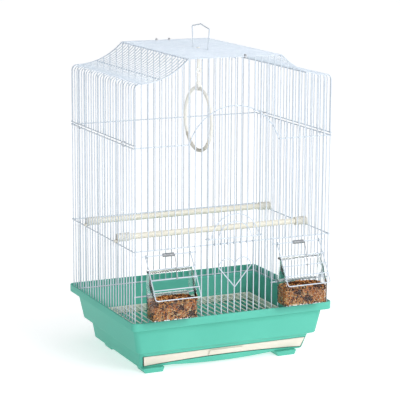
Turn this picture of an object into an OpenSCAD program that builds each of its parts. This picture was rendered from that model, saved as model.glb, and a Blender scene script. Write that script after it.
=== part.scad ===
// Wire bird cage with a moulded base tray, a pull-out drawer and two outside feeders.
// Millimetres, +Z up. Z = 0 is the underside of the feet, the door faces -Y, and X = 0, Y = 0
// is the middle of the whole cage, feeders included. The numbers below are measured from the
// middle of the base tray's rim, and centred() moves every piece from there into that frame.

/* [Base tray] */
// Width of the tray over its rim
rim_w = 395; // [380:1:410]
// Depth of the tray over its rim
rim_d = 320; // [308:1:332]
// Height of the rim's top above the floor
rim_top = 105; // [103:0.5:108]
// Wall of the tray
tray_wall = 2.2; // [1.8:0.1:2.6]
// Radius of the tray's upright corners
tray_corner = 10; // [6:1:10]

/* [Wire cage] */
// Half the width between the side panels' wires
side_x = 190.1; // [188:0.1:191]
// Half the depth between the front and back panels' wires
face_y = 151.6; // [149.5:0.1:152.5]
// Height of the flat roof's wires
roof_z = 561.7; // [540:0.1:580]
// Height of the shoulders where the roof's hollow slopes begin
shoulder_z = 522.8; // [518:0.1:530]
// Height of the seam between the side panels and the roof
seam_z = 412.1; // [400:0.1:420]
// Height of the rails that carry the perches
perch_rail_z = 231; // [228:0.5:234]
// Radius of the upright and roof wires
wire_r = 0.95; // [0.8:0.05:1]
// Radius of the horizontal rails
rail_r = 1.05; // [0.9:0.05:1.1]

/* [Door and feeders] */
// Height of the door's top crossbar
door_bar_z = 241.5; // [240:0.5:246]
// Distance from the middle of the front to a feeder's middle
feeder_x = 128; // [127:0.5:129]
// Width of a feeder cup
cup_w = 82; // [78:1:82]
// Height of a cup's front wall
cup_h = 37; // [34:1:38]
// Depth of a cup at its floor
cup_d = 33; // [30:1:34]

/* [Perches, swing and handle] */
// Diameter of the perches
perch_d = 10.8; // [10:0.1:11]
// Outside diameter of the swing's ring
swing_d = 122; // [110:1:126]
// Height of the carrying handle above the roof
handle_h = 44.5; // [36:0.5:50]

/* [Hidden] */
$fn = 32;
wire_fn = 20;

// Gap left between wires that are welded to each other
weld_gap = 0.02;
// Distance from the middle of an upright wire to the middle of a rail welded to it
layer = wire_r + rail_r + weld_gap;
// Gap left between an upright wire's top and the edge wire over it
upright_gap = 0.08;
// Radial clearance of a wire hinge
hinge_gap = 0.08;

// Tray levels and outlines
foot_h = 8;
step_z = 38.5;
upper_z = 43;
ledge_z = 91;
ledge_t = 2.4;
band_wall = 2.5;
lower_bottom = [328, 229, 2.5];
lower_top = [336.8, 248.7, -2.35];
upper_bottom = [357.4, 274.2, 0];
upper_top = [376.6, 288.8, 0];
front_low_y = lower_bottom[2] - lower_bottom[1] / 2;
front_step_y = lower_top[2] - lower_top[1] / 2;
// Middle X, middle Y, width and depth of each foot where it meets the floor
feet = [[-140.5, -102.5, 34, 34], [125, -102.5, 34, 34], [-140.5, 58, 34, 30], [125, 58, 34, 30]];
foot_flare = 3.5;
slot_top = 32.8;
slot_bottom = foot_h + tray_wall + 0.3;
slot_half_top = 163.5;
slot_half_bottom = 159.5;
lip_rise = 5.5;
lip_drop = 4.5;
lip_half = 104;
runner_x = 120;
runner_w = 4;

// Drawer
drawer_gap = 1.6;
drawer_end_gap = 2.3;
drawer_face_t = 2.9;
drawer_wall = 1.8;
drawer_half = 155;
drawer_floor_z = 17;
drawer_back_y = 98;
drawer_rim_z = 30;
grip_half = 33;
grip_out = 3;

// Floor grate
grate_w = 342;
grate_d = 258;
grate_z = upper_z + tray_wall - 0.8;
grate_h = 12.7;
grate_border = 4.5;
grate_bar = 2.1;
grate_bar_h = 2.2;
grate_bars = 25;

// Numbers of wires: spaces from the middle of the front to its corner, spaces along a
// side panel, and wires over the roof
front_half_spaces = 15;
side_spaces = 24;
roof_wires = 26;

// Wire cage levels
cage_foot = ledge_z + ledge_t + 0.4;
bottom_rail_z = cage_foot + rail_r + 0.1;
roof_rail_z = seam_z + 5.1;
front_pitch = side_x / front_half_spaces;
side_pitch = 2 * face_y / side_spaces;
roof_half_d = face_y - 2.8;
roof_pitch = 2 * roof_half_d / (roof_wires - 1);
inner_rail_y = face_y - layer;
outer_rail_x = side_x + layer;

// Roof outline: an outer bend, a hollow slope and a tight inner bend
shoulder_r = 10.1;
shoulder_x = side_x - shoulder_r;
slope_r = 124;
bend_r = 5;
joint_angle = 0.05;
slope_cz = shoulder_z + slope_r;
bend_cz = roof_z - bend_r;
slope_angle = acos((slope_cz - bend_cz) / (slope_r + bend_r));
bend_x = shoulder_x - (slope_r + bend_r) * sin(slope_angle);
post_top = shoulder_z - shoulder_r;
slope_rail_x = 140;

// Openings in the front panel, as numbers of wires from the middle
door_wires = 3;
feeder_wires = [7, 13];
feeder_bar_z = 150.6;
guard_rod_z = 222;
guard_rod_y = -face_y - layer;

// Sliding door
door_y = -face_y - 2 * wire_r - 0.35;
door_bar_y = door_y - 2 * wire_r - weld_gap;
door_foot = 101;
hook_x = (door_wires + 1) * front_pitch;
hook_r = -face_y - door_bar_y;
arch_cz = door_bar_z - 3.5;
arch_radii = [46.5, 32.5];
heart_z = 151.8;
heart_half = 31.5;
heart_h = 37.2;

// Decorative arch in the front seam rail
arch_rise = 64;
arch_half = 87;
arch_r = (arch_half * arch_half + arch_rise * arch_rise) / (2 * arch_rise);
arch_angle = asin(arch_half / arch_r);

// Feeder cups and guards
cup_z = 113;
cup_wall = 1.8;
cup_back_y = -face_y - wire_r - 0.5;
cup_top = 198;
cup_strip = 10;
cup_lean = 2.5;
ledge_in = 6;
guard_half = 42.8;
guard_reach = 45.4;
guard_drop = 69;
guard_len = sqrt(guard_reach * guard_reach + guard_drop * guard_drop);
guard_tilt = atan(guard_drop / guard_reach);
guard_bars = [0.32, 0.55, 0.78];
eye_r = rail_r + hinge_gap;
// From the middle of the tray's rim to the middle of the whole cage, with the guards in front
centre_y = (guard_reach + wire_r - guard_rod_y - rim_d / 2) / 2;
eye_wall = 1.8;
spring_len = 23;
spring_r = 3.5;
spring_wire = 0.65;

// Perches
perch_z = perch_rail_z + rail_r + 7.9;
front_perch_y = -67.5;
rear_perch_y = 80.2;
cap_r = 7.75;
cap_len = 24;
cap_end = side_x - wire_r - 0.15;
tongue_w = 6;
tongue_h = 3.2;

// Swing
spine_z = roof_z - layer;
swing_y = 3;
ring_r = 3.35;
ring_mid_r = swing_d / 2 - ring_r;
swing_cz = 431;
hanger_t = 3;
hanger_w = 4.6;
hanger_eye_z = 520.6;
clasp_top = 500;
clasp_bottom = 484;

// Handle
handle_r = 1.2;
handle_y = -5.5;
handle_foot = 31.5;
handle_half = 37.5;
handle_corner = 6;

white = [0.93, 0.95, 0.97];
mint = [0.45, 0.83, 0.74];
cream = [0.96, 0.91, 0.83];
steel = [0.72, 0.74, 0.76];
clear = [0.85, 0.9, 0.92, 0.45];

// ---- Small tools ----

// Moves a piece drawn about the rim's middle into the cage's own frame
module centred() {
    translate([0, centre_y, 0]) children();
}

// A straight wire between two points
module rod(p, q, r) {
    d = q - p;
    len = norm(d);
    translate(p)
        rotate([0, acos(d[2] / len), atan2(d[1], d[0])])
            cylinder(r = r, h = len, $fn = wire_fn);
}

module rod_x(x0, x1, y, z, r) {
    translate([x0, y, z]) rotate([0, 90, 0]) cylinder(r = r, h = x1 - x0, $fn = wire_fn);
}

module rod_y(x, y0, y1, z, r) {
    translate([x, y0, z]) rotate([-90, 0, 0]) cylinder(r = r, h = y1 - y0, $fn = wire_fn);
}

module rod_z(x, y, z0, z1, r) {
    translate([x, y, z0]) cylinder(r = r, h = z1 - z0, $fn = wire_fn);
}

// Part of a wire ring in the XY plane, from angle a0 through the angle a
module ring_part(mid_r, r, a0, a) {
    rotate([0, 0, a0])
        rotate_extrude(angle = a, $fn = 96)
            translate([mid_r, 0]) circle(r = r, $fn = wire_fn);
}

// The same ring standing in the XZ plane, with angles from +X towards +Z
module ring_xz(mid_r, r, a0, a) {
    rotate([90, 0, 0]) ring_part(mid_r, r, a0, a);
}

// A wire through a list of points, with a round elbow at each inner one
module wire_path(points, r) {
    for (i = [0 : len(points) - 2]) rod(points[i], points[i + 1], r);
    for (i = [1 : len(points) - 2]) translate(points[i]) sphere(r = r * 1.03, $fn = wire_fn);
}

// A shape and its mirror image across the plane X = 0
module both_sides() {
    children();
    mirror([1, 0, 0]) children();
}

// A closed outline with rounded corners; size is [width, depth, middle Y]
module rounded_plate(size, corner, z, t, grow = 0) {
    w = size[0] / 2 + grow - corner;
    d = size[1] / 2 + grow - corner;
    translate([0, size[2], z])
        hull()
            for (x = [-w, w], y = [-d, d])
                translate([x, y, 0]) cylinder(r = corner, h = t);
}

// A block whose outline changes evenly from one size at z0 to another at z1
module tapered(size0, z0, size1, z1, corner, grow = 0) {
    skin = 0.01;
    hull() {
        rounded_plate(size0, corner, z0, skin, grow);
        rounded_plate(size1, corner, z1 - skin, skin, grow);
    }
}

// Points on an arc that rises by rise over the half width, from +X to -X
function bow(half, z, rise, n = 16) = [for (i = [0 : n])
    let (t = 1 - 2 * i / n) [half * t, z + rise * (1 - t * t)]];

// Y of the sloping front of the tray's lower part at height z
function front_y(z) = front_low_y
    + (front_step_y - front_low_y) * (z - foot_h) / (step_z - foot_h);

// Height of the roof's wire above a point x across the cage
function outline_z(x) = let (a = abs(x))
    a <= bend_x ? roof_z
    : a <= bend_x + bend_r * sin(slope_angle)
        ? bend_cz + sqrt(bend_r * bend_r - (a - bend_x) * (a - bend_x))
    : a <= shoulder_x ? slope_cz - sqrt(slope_r * slope_r - (shoulder_x - a) * (shoulder_x - a))
    : shoulder_z;

// Slope of that wire, in degrees
function outline_slope(x) = let (a = abs(x))
    a <= bend_x ? 0
    : a <= bend_x + bend_r * sin(slope_angle) ? asin((a - bend_x) / bend_r)
    : a <= shoulder_x ? asin((shoulder_x - a) / slope_r)
    : 0;

// Where an upright wire stops under the panel's edge wire, which is lowest over its outer side
function upright_top(x) = let (edge = abs(x) + wire_r)
    outline_z(edge) - (wire_r + upright_gap) / cos(outline_slope(edge));

// ---- Base ----

module tray_outside() {
    tapered(lower_bottom, foot_h, lower_top, step_z, tray_corner);
    tapered(lower_top, step_z, upper_bottom, upper_z, tray_corner);
    tapered(upper_bottom, upper_z, upper_top, ledge_z + ledge_t, tray_corner);
    rounded_plate([rim_w, rim_d, 0], tray_corner, ledge_z, rim_top - ledge_z);
    for (f = feet)
        translate([f[0], f[1], 0])
            hull() {
                translate([-f[2] / 2, -f[3] / 2, 0]) cube([f[2], f[3], 0.01]);
                translate([-f[2] / 2 - foot_flare, -f[3] / 2, foot_h])
                    cube([f[2] + 2 * foot_flare, f[3], 0.4]);
            }
}

module tray_inside() {
    w = -tray_wall;
    tapered(lower_bottom, foot_h + tray_wall, lower_top, step_z + tray_wall, tray_corner, w);
    tapered(lower_top, step_z + tray_wall - 0.01, upper_bottom, upper_z + tray_wall, tray_corner, w);
    tapered(upper_bottom, upper_z + tray_wall - 0.01, upper_top, ledge_z + ledge_t + 0.1,
        tray_corner, w);
    rounded_plate([rim_w, rim_d, 0], tray_corner, ledge_z + ledge_t, rim_top - ledge_z, -band_wall);
}

// Slab that follows the sloping front wall between two heights
module front_slab(z0, z1, out, in, half) {
    translate([-half, 0, 0])
        rotate([90, 0, 90])
            linear_extrude(2 * half)
                polygon([
                    [front_y(z0) - out, z0], [front_y(z0) + in, z0],
                    [front_y(z1) + in, z1], [front_y(z1) - out, z1]
                ]);
}

module along_y(y0, y1) {
    translate([0, y1, 0]) rotate([90, 0, 0]) linear_extrude(y1 - y0) children();
}

module tray() {
    color(mint) centred() {
        difference() {
            tray_outside();
            tray_inside();
            along_y(front_step_y - 20, front_low_y + 8)
                polygon(concat(
                    [[-slot_half_top, slot_top], [slot_half_top, slot_top]],
                    bow(slot_half_bottom, slot_bottom, lip_rise)
                ));
        }
        both_sides()
            translate([runner_x, front_low_y + 12, foot_h + 1])
                cube([runner_w, drawer_back_y - front_low_y, drawer_floor_z - foot_h - 1.2]);
        intersection() {
            front_slab(foot_h - lip_drop - 1, foot_h + 0.6, -0.05, tray_wall, slot_half_bottom);
            along_y(front_step_y, front_low_y + 20)
                polygon(concat(
                    [[-lip_half, foot_h + 1], [lip_half, foot_h + 1]],
                    bow(lip_half, foot_h + 0.3, -lip_drop - 0.3)
                ));
        }
    }
}

// Front plate of the drawer, with a grip that stands out in its middle
module drawer_front() {
    face_top = slot_top - drawer_gap;
    face_foot = slot_bottom + drawer_gap;
    color(cream) centred() {
        intersection() {
            front_slab(face_foot, face_top, -0.4, drawer_face_t, slot_half_top);
            along_y(front_step_y - 20, front_low_y + 20)
                polygon(concat(
                    [[-slot_half_top + drawer_end_gap, face_top], [slot_half_top - drawer_end_gap, face_top]],
                    bow(slot_half_bottom - drawer_end_gap, face_foot, lip_rise)
                ));
        }
        front_slab(face_foot + lip_rise + 1.5, face_top - 2, grip_out, 1.5, grip_half);
    }
}

// A block of the pan: half its width, its floor, back and top, and how far it stands behind the face
module pan_block(half, z0, back_y, z1, behind) {
    translate([-half, 0, 0])
        rotate([90, 0, 90])
            linear_extrude(2 * half)
                polygon([
                    [front_y(z0) + behind, z0], [back_y, z0], [back_y, z1], [front_y(z1) + behind, z1]
                ]);
}

module drawer_pan() {
    behind = drawer_face_t + 0.1;
    color(mint) centred()
        difference() {
            pan_block(drawer_half, drawer_floor_z, drawer_back_y, drawer_rim_z, behind);
            pan_block(drawer_half - drawer_wall, drawer_floor_z + drawer_wall,
                drawer_back_y - drawer_wall, drawer_rim_z + 1, behind + drawer_wall);
        }
}

module floor_grate() {
    inner_w = grate_w - 2 * grate_border;
    inner_d = grate_d - 2 * grate_border;
    pitch = inner_w / (grate_bars + 1);
    color(cream) centred() {
        translate([0, 0, grate_z])
            linear_extrude(grate_h)
                difference() {
                    square([grate_w, grate_d], center = true);
                    square([inner_w, inner_d], center = true);
                }
        for (i = [1 : grate_bars])
            translate([
                -inner_w / 2 + i * pitch - grate_bar / 2, -inner_d / 2 - 1,
                grate_z + grate_h - grate_bar_h
            ])
                cube([grate_bar, inner_d + 2, grate_bar_h]);
    }
}

// ---- Front and back panels ----

// Straight rails behind the upright wires of a panel at Y = side * face_y
module face_rails(side, levels) {
    for (z = levels) rod_x(-side_x - 0.5, side_x + 0.5, side * inner_rail_y, z, rail_r);
}

module corner_posts(side) {
    both_sides() rod_z(side_x, side * face_y, cage_foot, post_top, wire_r);
}

module front_panel() {
    rail_end = feeder_wires[0] - 1;
    color(white) centred() {
        corner_posts(-1);
        for (k = [-front_half_spaces + 1 : front_half_spaces - 1]) {
            x = k * front_pitch;
            a = abs(k);
            over_door = a <= door_wires;
            over_feeder = a >= feeder_wires[0] && a <= feeder_wires[1];
            foot = over_door || over_feeder ? perch_rail_z - rail_r : cage_foot;
            rod_z(x, -face_y, foot, upright_top(x), wire_r);
            if (over_feeder) rod_z(x, -face_y, cage_foot, feeder_bar_z + rail_r, wire_r);
        }
        face_rails(-1, [bottom_rail_z, perch_rail_z]);
        both_sides() {
            rod_x(arch_half + 1.2, side_x + 0.5, -inner_rail_y, seam_z, rail_r);
            rod_x(rail_end * front_pitch - 1, side_x + 0.5, -inner_rail_y, feeder_bar_z, rail_r);
        }
    }
}

// The wire that follows the roof's outline along the top of a panel
module panel_edge(side) {
    translate([0, side * face_y, 0]) {
        both_sides() {
            shoulder_bend();
            roof_slope_wire();
        }
        rod_x(-bend_x + weld_gap, bend_x - weld_gap, 0, roof_z, wire_r);
    }
}

module front_panel_edge() { color(white) centred() panel_edge(-1); }
module back_panel_edge() { color(white) centred() panel_edge(1); }

// Arch in the front seam rail
module seam_arch() {
    color(white) centred()
        translate([0, -inner_rail_y, seam_z + arch_rise - arch_r]) {
            ring_xz(arch_r, rail_r, 90 - arch_angle, 2 * arch_angle);
            both_sides()
                translate([arch_half, 0, arch_r - arch_rise]) sphere(r = rail_r * 1.03, $fn = wire_fn);
        }
}

module back_panel() {
    color(white) centred() {
        corner_posts(1);
        for (k = [-front_half_spaces + 1 : front_half_spaces - 1])
            rod_z(k * front_pitch, face_y, cage_foot, upright_top(k * front_pitch), wire_r);
        face_rails(1, [bottom_rail_z, perch_rail_z, seam_z]);
    }
}

// ---- Side panels ----

module side_panel(side) {
    color(white) centred() {
        for (i = [1 : side_spaces - 1])
            rod_z(side * side_x, -face_y + i * side_pitch, cage_foot, seam_z + rail_r, wire_r);
        for (z = [bottom_rail_z, perch_rail_z, seam_z])
            rod_y(side * outer_rail_x, -face_y, face_y, z, rail_r);
    }
}

module left_side_panel() { side_panel(-1); }
module right_side_panel() { side_panel(1); }

// Hooked ends of the side and roof rails, which hold the corner posts
module panel_hooks() {
    color(white) centred()
        both_sides()
            for (z = [bottom_rail_z, perch_rail_z, seam_z, roof_rail_z]) {
                translate([side_x, -face_y, z]) ring_part(layer, rail_r, -165, 165);
                translate([side_x, face_y, z]) ring_part(layer, rail_r, 0, 165);
            }
}

// ---- Roof ----

module each_roof_wire() {
    for (j = [0 : roof_wires - 1]) translate([0, -roof_half_d + j * roof_pitch, 0]) children();
}

module roof_top() {
    color(white) centred() each_roof_wire() rod_x(-bend_x, bend_x, 0, roof_z, wire_r);
}

// Outer bend of one wire on the +X side
module shoulder_bend() {
    translate([shoulder_x, 0, post_top]) ring_xz(shoulder_r, wire_r, 0, 90);
}

// Hollow slope and inner bend of one wire on the +X side
module roof_slope_wire() {
    translate([shoulder_x, 0, slope_cz])
        ring_xz(slope_r, wire_r, 270 - slope_angle + joint_angle, slope_angle - 2 * joint_angle);
    translate([bend_x, 0, bend_cz]) ring_xz(bend_r, wire_r, 90 - slope_angle, slope_angle);
}

module roof_slope_right() { color(white) centred() each_roof_wire() roof_slope_wire(); }
module roof_slope_left() { color(white) centred() mirror([1, 0, 0]) each_roof_wire() roof_slope_wire(); }

// Upright part of each roof wire, and its outer bend
module roof_side() {
    color(white) centred()
        each_roof_wire() {
            rod_z(side_x, 0, roof_rail_z - rail_r, post_top - weld_gap, wire_r);
            shoulder_bend();
        }
}

module roof_side_left() { mirror([1, 0, 0]) roof_side(); }
module roof_side_right() { roof_side(); }

// Wires along the roof: spine, both edges of the flat, one down each slope, and the seam rails
module roof_rails() {
    end_y = roof_half_d + 1.5;
    slope_a = asin((shoulder_x - slope_rail_x) / slope_r);
    under = slope_r + layer;
    color(white) centred() {
        rod_y(0, -end_y, end_y, spine_z, rail_r);
        both_sides() {
            rod_y(bend_x, -end_y, end_y, spine_z, rail_r);
            rod_y(shoulder_x - under * sin(slope_a), -end_y, end_y, slope_cz - under * cos(slope_a), rail_r);
            rod_y(outer_rail_x, -face_y, face_y, roof_rail_z, rail_r);
        }
    }
}

// Rings that tie each side panel's top rail to the roof's lowest rail
module seam_clips() {
    clip_y = face_y - 3.5 * side_pitch;
    clip_wire = 0.8;
    clip_r = (roof_rail_z - seam_z) / 2 + rail_r + 0.1 + clip_wire;
    color(steel) centred()
        both_sides()
            for (y = [-clip_y, clip_y])
                translate([outer_rail_x, y, (roof_rail_z + seam_z) / 2]) ring_xz(clip_r, clip_wire, 0, 360);
}

// Two-turn rings that tie the roof's end wires to the front and back panels
module roof_clips() {
    clip_wire = 0.8;
    clip_r = (face_y - roof_half_d) / 2 + wire_r + 0.1 + clip_wire;
    mid_y = (face_y + roof_half_d) / 2;
    color(steel) centred()
        for (c = [[19, -mid_y], [-20, mid_y], [6, mid_y]], turn = [-1, 1])
            translate([c[0] + turn * (clip_wire + 0.05), c[1], roof_z])
                rotate([0, 90, 0]) ring_part(clip_r, clip_wire, 0, 360);
}

// ---- Sliding door ----

module door() {
    color(white) centred() {
        for (k = [-door_wires : door_wires])
            rod_z(k * front_pitch, door_y, door_foot - wire_r, door_bar_z + wire_r, wire_r);
        for (z = [door_foot, door_bar_z]) rod_x(-hook_x, hook_x, door_bar_y, z, wire_r);
    }
}

module door_arches() {
    foot_z = door_bar_z + wire_r + weld_gap;
    color(white) centred()
        for (r = arch_radii) {
            a = asin((foot_z - arch_cz) / r) + 1.2;
            translate([0, door_bar_y, arch_cz]) ring_xz(r, wire_r, a, 180 - 2 * a);
        }
}

module door_heart() {
    lobe_r = heart_half / 2;
    color(white) centred()
        translate([0, door_bar_y, heart_z])
            both_sides() {
                rod([0, 0, 0], [heart_half, 0, heart_h], wire_r);
                translate([heart_half, 0, heart_h]) sphere(r = wire_r * 1.03, $fn = wire_fn);
                translate([lobe_r, 0, heart_h]) ring_xz(lobe_r, wire_r, 0, 180);
                sphere(r = wire_r * 1.03, $fn = wire_fn);
            }
}

// Hooks that hold the door to the two upright wires beside it
module door_hooks() {
    color(white) centred()
        both_sides()
            for (z = [door_foot, door_bar_z])
                translate([hook_x, -face_y, z]) ring_part(hook_r, wire_r, -90, 250);
}

// ---- Feeders, drawn on the right and mirrored for the left ----

module guard_rod() {
    first = (feeder_wires[0] - 1) * front_pitch;
    last = (feeder_wires[1] + 1) * front_pitch;
    color(steel) centred() rod_x(first - 1.5, last + 1.5, guard_rod_y, guard_rod_z, rail_r);
}

// A point on the guard: u across from its middle, t from 0 at the hinge to 1 at the free edge
function guard_point(u, t, lift = 0) = [
    feeder_x + u,
    guard_rod_y - guard_reach * t - lift * sin(guard_tilt),
    guard_rod_z - guard_drop * t + lift * cos(guard_tilt)
];

module guard() {
    corner = 4;
    t_eye = (eye_r + eye_wall / 2) / guard_len;
    t_corner = 1 - corner / guard_len;
    end_gap = 0.75;
    t_gap = end_gap / guard_len;
    color(white) centred() {
        for (s = [-1, 1])
            difference() {
                union() {
                    translate([feeder_x + s * guard_half - 1, guard_rod_y, guard_rod_z])
                        rotate([0, 90, 0]) cylinder(r = eye_r + eye_wall, h = 2);
                    rod(guard_point(s * guard_half, t_eye), guard_point(s * guard_half, t_corner), wire_r);
                }
                translate([feeder_x + s * guard_half - 3, guard_rod_y, guard_rod_z])
                    rotate([0, 90, 0]) cylinder(r = eye_r, h = 6);
            }
        for (s = [-1, 1])
            rod(guard_point(s * guard_half, t_corner + t_gap),
                guard_point(s * (guard_half - corner + 0.5), 1), wire_r);
        rod(guard_point(-guard_half + corner - 0.5 + end_gap, 1),
            guard_point(guard_half - corner + 0.5 - end_gap, 1), wire_r);
        for (t = guard_bars)
            rod(guard_point(-guard_half - 1, t, 2 * wire_r + weld_gap),
                guard_point(guard_half + 1, t, 2 * wire_r + weld_gap), wire_r);
    }
}

// Closed coil round the hinge rod, with an arm that presses on the guard
module guard_spring() {
    arm_x = 12.2;
    color(steel) centred() {
        translate([feeder_x - spring_len / 2, guard_rod_y, guard_rod_z])
            rotate([0, 90, 0])
                difference() {
                    cylinder(r = spring_r, h = spring_len);
                    translate([0, 0, -1]) cylinder(r = spring_r - 2 * spring_wire, h = spring_len + 2);
                }
        rod(guard_point(spring_len / 2 - 0.8, 0.02, spring_r - spring_wire),
            guard_point(arm_x - 8, 0.6, 4 * wire_r + spring_wire + 0.3), spring_wire);
    }
}

// Clear cup with cheeks that rise under the guard to a strip along the top
module cup() {
    floor_y = cup_back_y - cup_d;
    front_y_top = floor_y - cup_lean;
    strip_y = cup_back_y - cup_strip;
    outline = [
        [cup_back_y, cup_z], [floor_y, cup_z], [front_y_top, cup_z + cup_h],
        [strip_y, cup_top], [cup_back_y, cup_top]
    ];
    inside = [
        [cup_back_y - cup_wall, cup_z + cup_wall],
        [floor_y + cup_wall, cup_z + cup_wall],
        [front_y_top + cup_wall, cup_z + cup_h + 0.01],
        [front_y_top - 5, cup_z + cup_h + 0.01],
        [front_y_top - 5, cup_top - 5],
        [cup_back_y + 5, cup_top - 5],
        [cup_back_y + 5, cup_z + cup_h + 4],
        [cup_back_y - cup_wall, cup_z + cup_h + 4]
    ];
    color(clear) centred() {
        difference() {
            translate([feeder_x - cup_w / 2, 0, 0]) rotate([90, 0, 90]) linear_extrude(cup_w) polygon(outline);
            translate([feeder_x - cup_w / 2 + cup_wall, 0, 0])
                rotate([90, 0, 90]) linear_extrude(cup_w - 2 * cup_wall) polygon(inside);
        }
        translate([feeder_x - cup_w / 2 + 4, cup_back_y - cup_wall, feeder_bar_z + rail_r + 0.3])
            cube([cup_w - 8, cup_wall + ledge_in, 1.6]);
    }
}

module left_guard_rod() { mirror([1, 0, 0]) guard_rod(); }
module right_guard_rod() { guard_rod(); }
module left_guard() { mirror([1, 0, 0]) guard(); }
module right_guard() { guard(); }
module left_guard_spring() { mirror([1, 0, 0]) guard_spring(); }
module right_guard_spring() { guard_spring(); }
module left_cup() { mirror([1, 0, 0]) cup(); }
module right_cup() { cup(); }

// ---- Perches ----

module perch(y) {
    half = cap_end - 4;
    color(cream) centred() rod_x(-half, half, y, perch_z, perch_d / 2);
}

// Socket for a perch's end, with a tongue between two side wires that rests on their rail
module perch_cap(y) {
    color(steel) centred()
        translate([cap_end, y, perch_z]) {
            difference() {
                rotate([0, -90, 0]) cylinder(r = cap_r, h = cap_len);
                translate([-3.9, 0, 0]) rotate([0, -90, 0]) cylinder(r = perch_d / 2 + 0.05, h = cap_len);
            }
            translate([-2, -tongue_w / 2, perch_rail_z + rail_r + 0.05 - perch_z])
                cube([outer_rail_x + rail_r - cap_end + 2.5, tongue_w, tongue_h]);
        }
}

module front_perch() { perch(front_perch_y); }
module rear_perch() { perch(rear_perch_y); }
module front_perch_right_cap() { perch_cap(front_perch_y); }
module front_perch_left_cap() { mirror([1, 0, 0]) perch_cap(front_perch_y); }
module rear_perch_right_cap() { perch_cap(rear_perch_y); }
module rear_perch_left_cap() { mirror([1, 0, 0]) perch_cap(rear_perch_y); }

// ---- Swing ----

module swing_torus(r) {
    translate([0, swing_y, swing_cz]) rotate([0, 90, 0]) ring_part(ring_mid_r, r, 0, 360);
}

// One moulded strip: a hook over the spine wire, a round eye, and a clasp on the ring
module swing_hanger() {
    hook_wall = 2.2;
    eye_outer = 5.6;
    color(cream) centred()
        translate([0, swing_y + hanger_t / 2, 0]) {
            difference() {
                union() {
                    translate([0, 0, spine_z]) rotate([90, 0, 0]) cylinder(r = eye_r + hook_wall, h = hanger_t);
                    translate([0, 0, hanger_eye_z]) rotate([90, 0, 0]) cylinder(r = eye_outer, h = hanger_t);
                    translate([-hanger_w / 2, -hanger_t, clasp_top - 2])
                        cube([hanger_w, hanger_t, spine_z - eye_r - 0.8 - clasp_top + 2]);
                }
                translate([0, 1, spine_z]) rotate([90, 0, 0]) cylinder(r = eye_r, h = hanger_t + 2);
                translate([0, 1, hanger_eye_z]) rotate([90, 0, 0]) cylinder(r = 2.5, h = hanger_t + 2);
                translate([-8, -hanger_t - 1, spine_z - 2.4]) cube([8, hanger_t + 2, 2]);
            }
            difference() {
                translate([-3.6, -hanger_t / 2, 0])
                    rotate([90, 0, 90])
                        linear_extrude(7.2)
                            polygon([
                                [-2.3, clasp_top], [2.3, clasp_top], [7, clasp_top - 8], [8, clasp_bottom],
                                [-8, clasp_bottom], [-7, clasp_top - 8]
                            ]);
                translate([0, -swing_y - hanger_t / 2, 0]) swing_torus(ring_r + 0.03);
            }
        }
}

module swing_ring() {
    color(cream) centred() swing_torus(ring_r);
}

// ---- Carrying handle ----

module handle() {
    top = roof_z + handle_h;
    shoulder = top - 6.2;
    n = 5;
    // Half of the bail's outline, from an eye on the spine to the peak
    leg = [[handle_foot, spine_z + eye_r + 0.9], [handle_half, shoulder - handle_corner]];
    corner = [for (i = [1 : n]) let (a = 90 * i / n)
        [handle_half - handle_corner * (1 - cos(a)), shoulder - handle_corner * (1 - sin(a))]];
    crest = [for (i = [1 : n]) let (t = i / n)
        [(handle_half - handle_corner) * (1 - t), shoulder + 2.2 * sin(180 * t) + 6.2 * t * t * t]];
    half = concat(leg, corner, crest);
    bail = concat(
        [for (p = half) [0, p[0], p[1]]],
        [for (i = [len(half) - 2 : -1 : 0]) [0, -half[i][0], half[i][1]]]
    );
    color(white) centred()
        translate([0, handle_y, 0])
            difference() {
                union() {
                    wire_path(bail, handle_r);
                    for (y = [-handle_foot, handle_foot])
                        translate([0, y + 1.2, spine_z]) rotate([90, 0, 0]) cylinder(r = eye_r + 1.8, h = 2.4);
                }
                for (y = [-handle_foot, handle_foot])
                    translate([0, y + 3, spine_z]) rotate([90, 0, 0]) cylinder(r = eye_r, h = 6);
            }
}

tray();
drawer_front();
drawer_pan();
floor_grate();
front_panel();
front_panel_edge();
seam_arch();
back_panel();
back_panel_edge();
left_side_panel();
right_side_panel();
roof_top();
roof_slope_left();
roof_slope_right();
roof_side_left();
roof_side_right();
roof_rails();
panel_hooks();
seam_clips();
roof_clips();
door();
door_arches();
door_heart();
door_hooks();
left_guard_rod();
right_guard_rod();
left_guard();
right_guard();
left_guard_spring();
right_guard_spring();
left_cup();
right_cup();
front_perch();
rear_perch();
front_perch_left_cap();
front_perch_right_cap();
rear_perch_left_cap();
rear_perch_right_cap();
swing_hanger();
swing_ring();
handle();
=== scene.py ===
import math
import random

import bmesh
import bpy
from mathutils import Euler, Matrix, Vector


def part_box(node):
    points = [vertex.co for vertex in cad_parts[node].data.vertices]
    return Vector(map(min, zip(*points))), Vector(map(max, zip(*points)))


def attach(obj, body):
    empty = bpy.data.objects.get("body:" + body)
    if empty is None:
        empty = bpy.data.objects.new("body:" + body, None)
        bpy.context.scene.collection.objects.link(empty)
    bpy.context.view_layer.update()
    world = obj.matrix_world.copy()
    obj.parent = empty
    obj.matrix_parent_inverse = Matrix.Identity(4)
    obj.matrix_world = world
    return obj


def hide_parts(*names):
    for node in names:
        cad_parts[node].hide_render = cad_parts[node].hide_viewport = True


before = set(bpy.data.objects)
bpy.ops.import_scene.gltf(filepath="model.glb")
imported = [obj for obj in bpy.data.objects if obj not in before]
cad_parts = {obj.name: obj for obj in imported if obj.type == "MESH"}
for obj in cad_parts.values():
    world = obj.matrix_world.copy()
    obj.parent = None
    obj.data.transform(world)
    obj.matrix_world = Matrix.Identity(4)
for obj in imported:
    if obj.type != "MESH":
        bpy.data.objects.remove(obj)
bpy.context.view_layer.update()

MM = 0.001
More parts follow.
